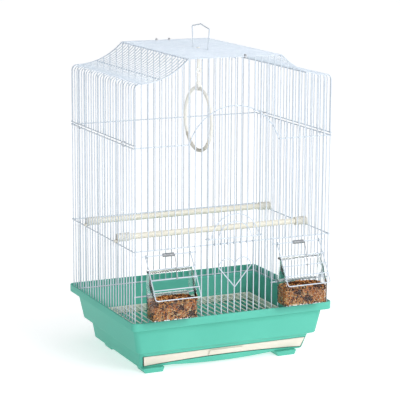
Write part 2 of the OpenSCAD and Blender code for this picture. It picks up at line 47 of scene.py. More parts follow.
# Lengths below are in mm, from the floor under the middle of the tray's rim
SHIFT = Vector((0, (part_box("tray")[0].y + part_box("tray")[1].y) / 2, 0))


# ---------------------------------------------------------------- mesh helpers

def link_object(name, data):
    obj = bpy.data.objects.new(name, data)
    bpy.context.scene.collection.objects.link(obj)
    return obj


def new_object(name, mesh, body, slot, mat, *replaced):
    """A piece that rides a body, takes a material and may stand for CAD nodes. The slot is not
    used.
    """
    obj = link_object(name, mesh)
    obj.data.materials.append(mat)
    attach(obj, body)
    if replaced:
        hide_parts(*replaced)
    return obj


def side_name(side):
    return "right" if side > 0 else "left"


def in_frame(x, y, z):
    """A point in mm, as the frame's metres."""
    return Vector((x, y, z)) * MM + SHIFT


def skin(rings, sides):
    """Quads between rings of vertices that follow each other."""
    faces = []
    for i in range(rings - 1):
        for k in range(sides):
            a, c = i * sides + k, i * sides + (k + 1) % sides
            faces.append([a, c, c + sides, a + sides])
    return faces


def face_outward(mesh):
    bm = bmesh.new()
    bm.from_mesh(mesh)
    bmesh.ops.recalc_face_normals(bm, faces=bm.faces)
    bm.to_mesh(mesh)
    bm.free()


def mesh_from(name, verts, faces, smooth=True):
    mesh = bpy.data.meshes.new(name)
    mesh.from_pydata([tuple(v) for v in verts], [], faces)
    mesh.update()
    if smooth:
        mesh.polygons.foreach_set("use_smooth", [True] * len(mesh.polygons))
    return mesh


class Builder:
    """Gathers several closed shapes into one mesh. Lengths are in millimetres."""

    # how far in from a cut end, and how thick there, in wire radii
    ROUND_END = ((0.0, 0.45), (0.16, 0.78), (0.5, 1.0))

    def __init__(self):
        self.verts, self.faces, self.tones = [], [], []

    def add(self, verts, faces, tone=0.0):
        base = len(self.verts)
        self.verts += [Vector(v) * MM + SHIFT for v in verts]
        self.faces += [[base + i for i in f] for f in faces]
        self.tones += [tone] * len(verts)

    def mesh(self, name):
        mesh = mesh_from(name, self.verts, self.faces)
        if any(self.tones):
            attr = mesh.attributes.new("tone", "FLOAT", "POINT")
            attr.data.foreach_set("value", self.tones)
        return mesh

    def lathe_path(self, points, radii, sides=14, closed=False, tone=0.0):
        """Tube through points with a radius at each, carried along without twisting."""
        points = [Vector(p) for p in points]
        n = len(points)
        tangents = []
        for i in range(n):
            a = points[(i - 1) % n] if closed or i > 0 else points[i]
            b = points[(i + 1) % n] if closed or i < n - 1 else points[i]
            tangents.append((b - a).normalized())
        side = tangents[0].orthogonal().normalized()
        verts, faces = [], []
        for i in range(n):
            t = tangents[i]
            side = (side - t * side.dot(t)).normalized()
            up = t.cross(side)
            for k in range(sides):
                ang = 2 * math.pi * k / sides
                spoke = side * math.cos(ang) + up * math.sin(ang)
                verts.append(points[i] + spoke * radii[i])
        rings = n if closed else n - 1
        shift = 0
        if closed:
            first = verts[0] - points[0]
            best = math.inf
            for k in range(sides):
                d = (verts[(n - 1) * sides + k] - points[-1] - first).length
                if d < best:
                    best, shift = d, k
        for i in range(rings):
            j = (i + 1) % n
            off = shift if closed and j == 0 else 0
            for k in range(sides):
                a, b = i * sides + (k + off) % sides, i * sides + (k + 1 + off) % sides
                c, d = j * sides + (k + 1) % sides, j * sides + k
                faces.append([a, b, c, d])
        if not closed:
            for i, flip in ((0, True), (n - 1, False)):
                ring = [i * sides + k for k in range(sides)]
                faces.append(ring[::-1] if flip else ring)
        self.add(verts, faces, tone)

    def wire(self, points, r, sides=12, round_ends=True, tone=0.0):
        """A wire with softly rounded cut ends."""
        points = [Vector(p) for p in points]
        if not round_ends:
            return self.lathe_path(points, [r] * len(points), sides, tone=tone)
        ends = []
        for p, q in ((points[0], points[1]), (points[-1], points[-2])):
            inward = (q - p).normalized()
            ends.append([(p + inward * (d * r), f * r) for d, f in self.ROUND_END])
        start, end = ends[0], ends[1][::-1]
        path = [e[0] for e in start] + points[1:-1] + [e[0] for e in end]
        radii = [e[1] for e in start] + [r] * (len(points) - 2) + [e[1] for e in end]
        self.lathe_path(path, radii, sides, tone=tone)

    def blob(self, centre, axes, tone=0.0, rings=5, sides=8):
        """A small ellipsoid; axes are three half-length vectors."""
        verts, faces = [], []
        u, v, w = [Vector(a) for a in axes]
        c = Vector(centre)
        verts.append(c + w)
        for i in range(1, rings):
            th = math.pi * i / rings
            for k in range(sides):
                ph = 2 * math.pi * k / sides
                round_axis = u * math.cos(ph) + v * math.sin(ph)
                verts.append(c + w * math.cos(th) + round_axis * math.sin(th))
        verts.append(c - w)
        last = len(verts) - 1
        for k in range(sides):
            faces.append([0, 1 + k, 1 + (k + 1) % sides])
            for i in range(rings - 2):
                a, b = 1 + i * sides + k, 1 + i * sides + (k + 1) % sides
                faces.append([a, a + sides, b + sides, b])
            low = 1 + (rings - 2) * sides
            faces.append([last, low + (k + 1) % sides, low + k])
        self.add(verts, faces, tone)


def arc(centre, r, a0, a1, n, u=(1, 0, 0), v=(0, 0, 1)):
    """Points on an arc in the plane of u and v, from a0 to a1 degrees."""
    c, u, v = Vector(centre), Vector(u), Vector(v)
    out = []
    for i in range(n + 1):
        a = math.radians(a0 + (a1 - a0) * i / n)
        out.append(c + u * (r * math.cos(a)) + v * (r * math.sin(a)))
    return out


def rounded_path(points, r, n=6):
    """A path with its inner corners rounded to radius r."""
    points = [Vector(p) for p in points]
    out = [points[0]]
    for p, q, s in zip(points, points[1:], points[2:]):
        a, b = (p - q).normalized(), (s - q).normalized()
        half = math.acos(max(-1, min(1, a.dot(b)))) / 2
        reach = min(r / math.tan(half), 0.49 * (p - q).length, 0.49 * (s - q).length)
        start, end = q + a * reach, q + b * reach
        for i in range(n + 1):
            t = i / n
            out.append(start * (1 - t) ** 2 + q * (2 * t * (1 - t)) + end * t ** 2)
    return out + [points[-1]]


# ---------------------------------------------------------------- materials

def node_tree(name):
    mat = bpy.data.materials.new(name)
    mat.use_nodes = True
    tree = mat.node_tree
    return mat, tree, tree.nodes["Principled BSDF"]


def noise(tree, scale, detail=3.0, rough=0.5, vector=None):
    tex = tree.nodes.new("ShaderNodeTexNoise")
    tex.inputs["Scale"].default_value = scale
    tex.inputs["Detail"].default_value = detail
    tex.inputs["Roughness"].default_value = rough
    if vector is None:
        coord = tree.nodes.new("ShaderNodeTexCoord")
        vector = coord.outputs["Object"]
    tree.links.new(vector, tex.inputs["Vector"])
    return tex.outputs["Fac"]


def ramp(tree, source, stops):
    node = tree.nodes.new("ShaderNodeValToRGB")
    elements = node.color_ramp.elements
    while len(elements) < len(stops):
        elements.new(0.5)
    for el, (pos, col) in zip(elements, stops):
        el.position = pos
        el.color = (*col, 1) if len(col) == 3 else col
    tree.links.new(source, node.inputs["Fac"])
    return node


def bump(tree, height, strength, distance, normal=None):
    node = tree.nodes.new("ShaderNodeBump")
    node.inputs["Strength"].default_value = strength
    node.inputs["Distance"].default_value = distance
    tree.links.new(height, node.inputs["Height"])
    if normal is not None:
        tree.links.new(normal, node.inputs["Normal"])
    return node


def to_range(tree, source, low, high, src_low=0.0, src_high=1.0):
    node = tree.nodes.new("ShaderNodeMapRange")
    node.inputs["From Min"].default_value = src_low
    node.inputs["From Max"].default_value = src_high
    node.inputs["To Min"].default_value = low
    node.inputs["To Max"].default_value = high
    tree.links.new(source, node.inputs["Value"])
    return node


def colour_from(tree, shader, source, stops):
    tree.links.new(ramp(tree, source, stops).outputs["Color"], shader.inputs["Base Color"])


def gloss_from(tree, shader, source, low, high):
    tree.links.new(to_range(tree, source, low, high).outputs["Result"], shader.inputs["Roughness"])


def relief_from(tree, shader, source, strength, distance, under=None):
    node = bump(tree, source, strength, distance, under)
    tree.links.new(node.outputs["Normal"], shader.inputs["Normal"])


def tone_of(tree):
    """The tone that Builder keeps on each vertex."""
    node = tree.nodes.new("ShaderNodeAttribute")
    node.attribute_name = "tone"
    return node.outputs["Fac"]


def mixed(tree, first, second, factor, blend="MIX"):
    """Mixes two colours; the factor is a number or a socket."""
    colour_a, colour_b, result = 6, 7, 2
    mix = tree.nodes.new("ShaderNodeMix")
    mix.data_type = "RGBA"
    mix.blend_type = blend
    if isinstance(factor, float):
        mix.inputs["Factor"].default_value = factor
    else:
        tree.links.new(factor, mix.inputs["Factor"])
    tree.links.new(first, mix.inputs[colour_a])
    tree.links.new(second, mix.inputs[colour_b])
    return mix.outputs[result]


def moulded(name, dark, light, rough, grain=0.12, subsurface=0.0, specular=0.5):
    """Injection-moulded plastic: slight flow marks in colour, fine grain, uneven gloss."""
    flow_scale, gloss_scale, grain_scale, wave_scale = 7.0, 28.0, 2600.0, 22.0
    mat, tree, shader = node_tree(name)
    flow = noise(tree, flow_scale, 4.0, 0.55)
    colour_from(tree, shader, flow, [(0.35, dark), (0.65, light)])
    gloss_from(tree, shader, noise(tree, gloss_scale, 3.0), rough - 0.05, rough + 0.06)
    fine = bump(tree, noise(tree, grain_scale, 2.0), grain, 0.00012)
    wave = noise(tree, wave_scale, 2.0)
    relief_from(tree, shader, wave, 0.10, 0.0012, fine.outputs["Normal"])
    shader.inputs["IOR"].default_value = 1.47
    shader.inputs["Specular IOR Level"].default_value = specular
    if subsurface:
        shader.inputs["Subsurface Weight"].default_value = subsurface
        shader.inputs["Subsurface Radius"].default_value = (0.004, 0.003, 0.0025)
        shader.inputs["Subsurface Scale"].default_value = 1.0
    return mat


def coated_wire(name, dark, light, rough=0.24):
    """Glossy powder coat over wire, a little uneven along its length."""
    mat, tree, shader = node_tree(name)
    colour_from(tree, shader, noise(tree, 60.0, 3.0), [(0.3, dark), (0.7, light)])
    gloss_from(tree, shader, noise(tree, 240.0, 2.0), rough - 0.07, rough + 0.09)
    relief_from(tree, shader, noise(tree, 900.0, 2.0), 0.18, 0.00018)
    shader.inputs["Coat Weight"].default_value = 0.35
    shader.inputs["Coat Roughness"].default_value = 0.12
    return mat


def bare_metal(name, dark, light, rough):
    mat, tree, shader = node_tree(name)
    shader.inputs["Metallic"].default_value = 1.0
    colour_from(tree, shader, noise(tree, 140.0, 4.0), [(0.3, dark), (0.75, light)])
    gloss_from(tree, shader, noise(tree, 700.0, 2.0), rough - 0.08, rough + 0.12)
    relief_from(tree, shader, noise(tree, 1900.0, 2.0), 0.2, 0.0001)
    return mat


def grooved_plastic(name, dark, light, rough):
    """Cream perch plastic with fine grooves along X, painted darker in the grooves as shade."""
    along, across = 22, 650
    mat, tree, shader = node_tree(name)
    coord = tree.nodes.new("ShaderNodeTexCoord")
    mapping = tree.nodes.new("ShaderNodeMapping")
    mapping.inputs["Scale"].default_value = (along, across, across)
    tree.links.new(coord.outputs["Object"], mapping.inputs["Vector"])
    grooves_and_painted_shade = noise(tree, 1.0, 3.0, 0.6, mapping.outputs["Vector"])
    # this noise is also the grooves' height, so the dark colour at its low end is painted shade in
    # the grooves
    colour_from(tree, shader, grooves_and_painted_shade, [(0.32, dark), (0.6, light)])
    gloss_from(tree, shader, grooves_and_painted_shade, rough + 0.1, rough - 0.05)
    relief_from(tree, shader, grooves_and_painted_shade, 0.5, 0.0005)
    return mat


def clear_plastic(name):
    mat, tree, shader = node_tree(name)
    shader.inputs["Transmission Weight"].default_value = 1.0
    shader.inputs["IOR"].default_value = 1.36
    haze = noise(tree, 40.0, 3.0)
    colour_from(tree, shader, haze, [(0.3, (0.93, 0.955, 0.96)), (0.7, (0.985, 0.99, 0.99))])
    gloss_from(tree, shader, haze, 0.015, 0.07)
    relief_from(tree, shader, noise(tree, 75.0, 2.0), 0.12, 0.0006)
    return mat


def seeds_material(name):
    """Husk brown to pale grain by each seed's tone, with specks."""
    mat, tree, shader = node_tree(name)
    colours = ramp(tree, tone_of(tree), [
        (0.00, (0.055, 0.020, 0.009)), (0.16, (0.120, 0.042, 0.015)), (0.30, (0.34, 0.10, 0.03)),
        (0.50, (0.58, 0.18, 0.04)), (0.70, (0.74, 0.30, 0.075)), (0.86, (0.82, 0.48, 0.19)),
        (1.0, (0.88, 0.70, 0.42))])
    speck = noise(tree, 1400.0, 3.0)
    shade = ramp(tree, speck, [(0.3, (0.55, 0.5, 0.45)), (0.6, (1, 1, 1))])
    colour = mixed(tree, colours.outputs["Color"], shade.outputs["Color"], 0.55, "MULTIPLY")
    tree.links.new(colour, shader.inputs["Base Color"])
    shader.inputs["Specular IOR Level"].default_value = 0.12
    gloss_from(tree, shader, speck, 0.5, 0.75)
    relief_from(tree, shader, speck, 0.4, 0.0003)
    return mat


def swing_ring_material(name):
    """Smooth plastic that is rougher and darker where the tone is 1, on the grip along the bottom.
    """
    mat, tree, shader = node_tree(name)
    tone = tone_of(tree)
    mottle = noise(tree, 160.0, 4.0)
    plain = ramp(tree, mottle, [(0.3, SWING_DARK), (0.7, SWING_LIGHT)])
    # the grip's ramp is much darker than the plain ring's
    grip = ramp(tree, mottle, [(0.35, (0.50, 0.46, 0.39)), (0.65, (0.78, 0.74, 0.66))])
    colour = mixed(tree, plain.outputs["Color"], grip.outputs["Color"], tone)
    tree.links.new(colour, shader.inputs["Base Color"])
    gloss_from(tree, shader, tone, 0.34, 0.6)
    relief_from(tree, shader, noise(tree, 1500.0, 3.0), 0.25, 0.0004)
    return mat


SWING_DARK, SWING_LIGHT = (0.86, 0.83, 0.76), (0.91, 0.89, 0.83)
WHITE = coated_wire("white_coat", (0.58, 0.65, 0.73), (0.65, 0.71, 0.78))
MINT = moulded("mint_plastic", (0.112, 0.480, 0.372), (0.126, 0.520, 0.406), 0.36,
               subsurface=0.02, specular=0.07)
CREAM = moulded("cream_plastic", (0.76, 0.67, 0.58), (0.81, 0.73, 0.64), 0.38, subsurface=0.04)
GRATE = moulded("grate_plastic", (0.88, 0.83, 0.72), (0.92, 0.88, 0.78), 0.38)
PERCH = grooved_plastic("perch_plastic", (0.84, 0.79, 0.66), (0.90, 0.86, 0.74), 0.5)
CAP = moulded("cap_plastic", (0.82, 0.79, 0.71), (0.88, 0.86, 0.78), 0.45, grain=0.2)
CLEAR = clear_plastic("clear_plastic")
SPRING = bare_metal("spring_steel", (0.42, 0.43, 0.45), (0.62, 0.63, 0.65), 0.34)
CLIP = bare_metal("clip_steel", (0.62, 0.63, 0.65), (0.80, 0.81, 0.83), 0.36)
SWING = moulded("swing_plastic", SWING_DARK, SWING_LIGHT, 0.34, subsurface=0.1)
SEEDS = seeds_material("seed_mix")


# ---------------------------------------------------------------- wires kept from the CAD model

WIRE_NODES = [
    "front_panel", "front_panel_edge", "seam_arch", "back_panel", "back_panel_edge",
    "left_side_panel", "right_side_panel", "roof_top", "roof_slope_left", "roof_slope_right",
    "roof_side_left", "roof_side_right", "roof_rails", "panel_hooks",
    "door", "door_arches", "door_heart", "door_hooks", "left_guard_rod", "right_guard_rod",
]


def add_bevel(obj, width, segments, angle):
    mod = obj.modifiers.new("bevel", "BEVEL")
    mod.width = width * MM
    mod.segments = segments
    mod.limit_method = "ANGLE"
    mod.angle_limit = math.radians(angle)


def add_smooth(obj, angle):
    obj.modifiers.new("smooth", "NODES").node_group = smooth_group(angle)


def dress(node, mat, bevel=0.0, segments=2, angle=50):
    """Modifiers and a material for a CAD node; its mesh stays as it is."""
    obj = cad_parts[node]
    obj.data.materials.clear()
    obj.data.materials.append(mat)
    obj.modifiers.new("weld", "WELD").merge_threshold = 2e-6
    if bevel:
        add_bevel(obj, bevel, segments, angle)
    add_smooth(obj, 40)


def smooth_group(angle):
    """Geometry nodes that smooth every edge flatter than the angle."""
    name = f"smooth_{angle}"
    if name in bpy.data.node_groups:
        return bpy.data.node_groups[name]
    group = bpy.data.node_groups.new(name, "GeometryNodeTree")
    group.interface.new_socket("Geometry", in_out="INPUT", socket_type="NodeSocketGeometry")
    group.interface.new_socket("Geometry", in_out="OUTPUT", socket_type="NodeSocketGeometry")
    start, end = group.nodes.new("NodeGroupInput"), group.nodes.new("NodeGroupOutput")
    faces = group.nodes.new("GeometryNodeSetShadeSmooth")
    faces.domain = "FACE"
    faces.inputs["Shade Smooth"].default_value = True
    edges = group.nodes.new("GeometryNodeSetShadeSmooth")
    edges.domain = "EDGE"
    edge_angle = group.nodes.new("GeometryNodeInputMeshEdgeAngle")
    sharp = group.nodes.new("FunctionNodeCompare")
    sharp.operation = "GREATER_THAN"
    sharp.inputs[1].default_value = math.radians(angle)
    group.links.new(edge_angle.outputs["Unsigned Angle"], sharp.inputs[0])
    group.links.new(start.outputs[0], faces.inputs["Geometry"])
    group.links.new(faces.outputs["Geometry"], edges.inputs["Geometry"])
    group.links.new(sharp.outputs[0], edges.inputs["Selection"])
    edges.inputs["Shade Smooth"].default_value = False
    group.links.new(edges.outputs["Geometry"], end.inputs[0])
    return group


for wire_node in WIRE_NODES:
    dress(wire_node, WHITE)
for clip_node in ("seam_clips", "roof_clips"):
    dress(clip_node, CLIP)
dress("drawer_front", CREAM, bevel=0.55, segments=3, angle=30)
dress("drawer_pan", MINT, bevel=0.5, segments=2, angle=30)
dress("floor_grate", GRATE, bevel=0.5, segments=2, angle=30)
for cup_node in ("left_cup", "right_cup"):
    dress(cup_node, CLEAR, bevel=0.45, segments=3, angle=18)
dress("swing_hanger", SWING, bevel=0.35, segments=2, angle=40)

# ---------------------------------------------------------------- wire cage numbers, mm

SIDE_X, FACE_Y = 190.1, 151.6
WIRE_R, RAIL_R = 0.95, 1.05
WELD_GAP = 0.01  # half of what the CAD leaves between two welded wires
FRONT_GAPS, SIDE_GAPS = 15, 24  # from the middle to a corner post, and along a side
FRONT_PITCH, SIDE_PITCH = SIDE_X / FRONT_GAPS, 2 * FACE_Y / SIDE_GAPS
RAIL_Y = FACE_Y - 2.02
BOTTOM_Z, PERCH_Z, SEAM_Z, ROOF_RAIL_Z = 94.95, 231.0, 412.1, 417.2
FEEDER_BAR_Z = 150.6
ROOF_Z, SPINE_Z = 561.7, 559.68
ROOF_FRONT_Y, ROOF_PITCH, ROOF_WIRES = -148.8, 11.904, 26
ROOF_YS = [ROOF_FRONT_Y + ROOF_PITCH * j for j in range(ROOF_WIRES)]
BEND_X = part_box("roof_top")[1].x / MM
DOOR_UPRIGHTS, FEEDER_UPRIGHTS = 3, 6  # last behind the door, first behind a feeder
ARCH_R, ARCH_RISE = 91.13, 64
ARCH_INSIDE, ARCH_OUTSIDE = 86, 88  # uprights that meet the arch, or the straight rail
ARCH_MID_Z = 385  # the arch's centre, rounded
DOOR_Y, DOOR_BOTTOM_Z, DOOR_TOP_Z = 153.85, 101.0, 241.5
HEART_WELDS = ((0, 151.8), (-25.35, 181.7), (25.35, 181.7), (-12.67, 166.8), (12.67, 166.8))
X_AXIS, Y_AXIS, Z_AXIS = (1, 0, 0), (0, 1, 0), (0, 0, 1)


# ---------------------------------------------------------------- weld nuggets

def nugget(builder, at, along, normal, size=1.0):
    """The squeezed metal between two crossing wires: long along one, thin between them."""
    length, width, thickness = 1.35, 1.25, 0.72
    n = Vector(normal).normalized()
    a = Vector(along).normalized()
    c = n.cross(a)
    builder.blob(at, (a * length * size, c * width * size, n * thickness * size), rings=5, sides=8)


def cage_welds():
    b = Builder()
    mid_y = FACE_Y - (WIRE_R + WELD_GAP)
    side_x = SIDE_X + WIRE_R + WELD_GAP
    for k in range(1 - FRONT_GAPS, FRONT_GAPS):
        x = k * FRONT_PITCH
        front_zs = [PERCH_Z]
        if abs(k) > DOOR_UPRIGHTS:
            front_zs.append(BOTTOM_Z)
        if abs(x) > ARCH_OUTSIDE:
            front_zs.append(SEAM_Z)
        if abs(k) >= FEEDER_UPRIGHTS:
            front_zs.append(FEEDER_BAR_Z)
        for z in (BOTTOM_Z, PERCH_Z, SEAM_Z):
            nugget(b, (x, mid_y, z), X_AXIS, Y_AXIS)
        for z in front_zs:
            nugget(b, (x, -mid_y, z), X_AXIS, Y_AXIS)
        if abs(x) < ARCH_INSIDE:
            z = SEAM_Z + ARCH_RISE - ARCH_R + math.sqrt(max(ARCH_R ** 2 - x * x, 0))
            nugget(b, (x, -mid_y, z), (1, 0, -x / max(z - ARCH_MID_Z, 1)), Y_AXIS)
    for side in (-1, 1):
        for i in range(1, SIDE_GAPS):
            y = -FACE_Y + i * SIDE_PITCH
            for z in (BOTTOM_Z, PERCH_Z, SEAM_Z):
                nugget(b, (side * side_x, y, z), Y_AXIS, X_AXIS)
        for y in ROOF_YS:
            nugget(b, (side * side_x, y, ROOF_RAIL_Z), Y_AXIS, X_AXIS)
    for y in ROOF_YS:
        for x in (-BEND_X + 1, 0, BEND_X - 1):
            nugget(b, (x, y, ROOF_Z - WIRE_R - WELD_GAP), Y_AXIS, Z_AXIS)
    new_object("weld_nuggets", b.mesh("weld_nuggets"), "cage", "white_wire", WHITE)


def door_welds():
    b = Builder()
    y = -DOOR_Y - WIRE_R - WELD_GAP
    for k in range(-DOOR_UPRIGHTS, DOOR_UPRIGHTS + 1):
        for z in (DOOR_BOTTOM_Z, DOOR_TOP_Z):
            nugget(b, (k * FRONT_PITCH, y, z), X_AXIS, Y_AXIS)
    for x, z in HEART_WELDS:
        nugget(b, (x, y, z), Z_AXIS, Y_AXIS, 0.9)
    new_object("door_weld_nuggets", b.mesh("door_weld_nuggets"), "door", "white_wire", WHITE)


def rail_curls():
    """Wires over the door end in a small curl round the perch rail."""
    curl_wire, curl_r, first, last, spread = 0.8, RAIL_R + 0.85, 180, 470, 0.9
    b = Builder()
    for k in range(-DOOR_UPRIGHTS, DOOR_UPRIGHTS + 1):
        centre = (k * FRONT_PITCH + 0.2, -RAIL_Y, PERCH_Z)
        loop = arc(centre, curl_r, first, last, 22, u=Y_AXIS, v=Z_AXIS)
        loop = [p + Vector((spread * i / len(loop), 0, 0)) for i, p in enumerate(loop)]
        b.wire(loop, curl_wire)
    new_object("door_rail_curls", b.mesh("door_rail_curls"), "cage", "white_wire", WHITE)


# ---------------------------------------------------------------- feeder guards and springs

ROD_Y, ROD_Z = -153.62, 222.0
GUARD_HALF, GUARD_REACH, GUARD_DROP = 42.8, 45.4, 69.0
GUARD_LEN = math.hypot(GUARD_REACH, GUARD_DROP)
GUARD_X = 128
BAR_LIFT, BAR_WELD_LIFT = 1.92, 0.96  # a bar on the frame wire, and the weld between them
BAR_SHARES = (0.32, 0.55, 0.78)  # where the bars cross, down the guard


def guard_at(mid, u, t, lift=0.0):
    """A point u across from the guard's middle, the share t down it, lifted off its plane."""
    ty, tz = GUARD_REACH / GUARD_LEN, GUARD_DROP / GUARD_LEN
    y = ROD_Y - GUARD_REACH * t - lift * tz
    return Vector((mid + u, y, ROD_Z - GUARD_DROP * t + lift * ty))


def guard(side):
    mid = side * GUARD_X
    name = side_name(side) + "_guard"
    b = Builder()
    down = (guard_at(mid, 0, 1) - guard_at(mid, 0, 0)).normalized()
    out = Vector((0, down.z, -down.y))
    loop_r, loop_width, loop_turn, steps = RAIL_R + WIRE_R + 0.1, 2.0, 400, 26
    loops = []
    for s in (-1, 1):
        loop = []
        for i in range(steps + 1):
            ang = math.radians(loop_turn * i / steps)
            u = s * (GUARD_HALF - loop_width + loop_width * i / steps)
            p = Vector((mid + u, ROD_Y, ROD_Z))
            p += (out * math.cos(ang) - down * math.sin(ang)) * -loop_r
            loop.append(p)
        loops.append(loop)
    left, right = loops
    shoulder, corner = 0.16, 4.5
    frame_path = rounded_path(
        [guard_at(mid, -GUARD_HALF, shoulder), guard_at(mid, -GUARD_HALF, 1),
         guard_at(mid, GUARD_HALF, 1), guard_at(mid, GUARD_HALF, shoulder)], corner, 8)
    b.wire(left + frame_path + right[::-1], WIRE_R, sides=14)
    for t in BAR_SHARES:
        b.wire([guard_at(mid, u, t, BAR_LIFT) for u in (-GUARD_HALF - 1, 0, GUARD_HALF + 1)],
               WIRE_R, sides=14)
        for s in (-1, 1):
            normal = (guard_at(mid, 0, t, 1) - guard_at(mid, 0, t, 0)).normalized()
            nugget(b, guard_at(mid, s * GUARD_HALF, t, BAR_WELD_LIFT), X_AXIS, normal)
    new_object(name + "_wire", b.mesh(name + "_wire"), name, "white_wire", WHITE, name)


def guard_spring(side):
    mid = side * GUARD_X
    body = side_name(side) + "_guard"
    name = body + "_spring"
    wire, coil_r, length, turns, per_turn = 0.62, 2.75, 21.5, 16, 16
    b = Builder()
    coil = []
    steps = turns * per_turn
    for i in range(steps + 1):
        a = 2 * math.pi * i / per_turn
        x = mid - length / 2 + length * i / steps
        coil.append(Vector((x, ROD_Y - coil_r * math.cos(a), ROD_Z + coil_r * math.sin(a))))
    arm = [guard_at(mid, u, t, lift) for u, t, lift in (
        (length / 2 + 0.2, 0.03, coil_r), (9, 0.2, 3.6), (5.5, 0.42, 4.3), (4, 0.58, 4.6))]
    b.wire(coil + rounded_path(arm, 6, 5)[1:], wire, sides=10)
    hook = arc(arm[-1], 1.6, 90, 330, 10, u=X_AXIS, v=(0, 0.55, -0.83))
    b.wire([p - (hook[0] - arm[-1]) for p in hook], wire, sides=10)
    new_object(name + "_coil", b.mesh(name + "_coil"), body, "spring_steel", SPRING, name)


# ---------------------------------------------------------------- seed mix in the cups

SEED_END_GAP, SEED_FLOOR_GAP, CUP_WALL = 2.6, 2.4, 37
SEED_BACK, SEED_FRONT, CUP_LEAN = -155.6, -184.0, 2.5
SEED_STEP = 2.05
RANDOM_SEEDS = {"right": 11, "left": 5}


def seed_mix(side):
    cup = side_name(side) + "_cup"
    low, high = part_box(cup)
    low, high = low / MM, high / MM
    x0, x1 = low.x + SEED_END_GAP, high.x - SEED_END_GAP
    z0, wall_top = low.z + SEED_FLOOR_GAP, low.z + CUP_WALL
    back = SEED_BACK
    rng = random.Random(RANDOM_SEEDS[side_name(side)])
    b = Builder()

    def front_at(z):
        return SEED_FRONT - CUP_LEAN * (z - low.z) / CUP_WALL

    def top_at(x, y):
        across = (x - x0) / (x1 - x0)
        depth = (back - y) / (back - SEED_FRONT)
        mound = 3.2 * math.sin(math.pi * across) * (1 - 0.55 * depth)
        left_dip = 5.0 * math.exp(-((x - x0) / 9) ** 2) * depth
        dip = left_dip if side < 0 else 1.2 * depth
        return wall_top - 4.2 + mound - dip

    def seed(x, y, z, tone, scale):
        length = rng.uniform(2.2, 3.4) * scale
        width = length * rng.uniform(0.45, 0.62)
        full_turn = 6.28
        turn = Euler([rng.uniform(0, full_turn) for _ in range(3)]).to_matrix()
        axes = [turn @ Vector((width, 0, 0)), turn @ Vector((0, width * 0.85, 0)),
                turn @ Vector((0, 0, length))]
        b.blob((x, y, z), axes, tone=tone, rings=4, sides=6)

    def tone_at(x, z, husks=0.10):
        patches = math.sin(x * 0.17 + side) * math.sin(z * 0.23 + 1.3 * side)
        clump = patches + 0.7 * math.sin(x * 0.08 + z * 0.13 + 0.6)
        if rng.random() < husks + 0.85 * max(0.0, clump - 0.15):
            return rng.uniform(0.02, 0.20)
        return min(1.0, max(0.03, rng.gauss(0.68, 0.18)))

    # a layer of seeds against the cup's walls, from the bottom up
    step, skin_in, jitter = SEED_STEP, 1.2, 0.9
    middle_y = -170
    z = z0
    while z < wall_top + 4:
        x = x0
        while x <= x1:
            for y in (front_at(z) + skin_in, back - skin_in):
                if z < top_at(x, y):
                    seed(x + rng.uniform(-jitter, jitter),
                         y + rng.uniform(0, jitter) * (1 if y < middle_y else -1),
                         z + rng.uniform(-jitter, jitter), tone_at(x, z), 1.0)
            x += step
        y = front_at(z) + step
        while y < back:
            for x in (x0, x1):
                if z < top_at(x, y):
                    seed(x + rng.uniform(0, jitter) * (1 if x == x0 else -1),
                         y + rng.uniform(-jitter, jitter),
                         z + rng.uniform(-jitter, jitter), tone_at(y, z), 1.0)
            y += step
        z += step
    # two layers on top, with more husks
    x = x0
    while x <= x1:
        y = front_at(wall_top - 6) + 0.6
        while y <= back - 0.6:
            for layer in (0.0, 1.8):
                seed(x + rng.uniform(-1, 1), y + rng.uniform(-0.8, 0.8),
                     top_at(x, y) - layer + rng.uniform(-0.8, 0.8), tone_at(x, y, 0.42), 1.08)
            y += step
        x += step
    # a dark filling behind the outer seeds, a near-black sheet that paints the shade in the gaps
    # between them: a top grid, a bottom grid and the rim between
    nx, ny, end_in, front_in, back_in = 12, 6, 1.6, 2.8, 2.6

    def grid(front):
        for j in range(ny + 1):
            for i in range(nx + 1):
                px = x0 + end_in + (x1 - x0 - 2 * end_in) * i / nx
                yield px, front + front_in + (back - back_in - front - front_in) * j / ny

    verts = [(px, py, top_at(px, py) - 2.0) for px, py in grid(front_at(wall_top - 5))]
    base = len(verts)
    verts += [(px, py, z0 + 0.8) for px, py in grid(front_at(z0))]
    faces = []
    w = nx + 1
    for j in range(ny):
        for i in range(nx):
            a = j * w + i
            faces.append([a, a + 1, a + 1 + w, a + w])
            faces.append([base + a, base + a + w, base + a + 1 + w, base + a + 1])
    rim = (list(range(w)) + [w * j + nx for j in range(1, ny + 1)]
           + [w * ny + i for i in range(nx - 1, -1, -1)] + [w * j for j in range(ny - 1, 0, -1)])
    for p, q in zip(rim, rim[1:] + rim[:1]):
        faces.append([q, p, base + p, base + q])
    # tone 0.10 gives the filling a near-black brown: painted shade between the seeds
    b.add(verts, faces, tone=0.10)
    name = "seed_mix_" + side_name(side)
    obj = link_object(name, b.mesh(name))
    obj.data.materials.append(SEEDS)
    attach(obj, cup)


# ---------------------------------------------------------------- perches

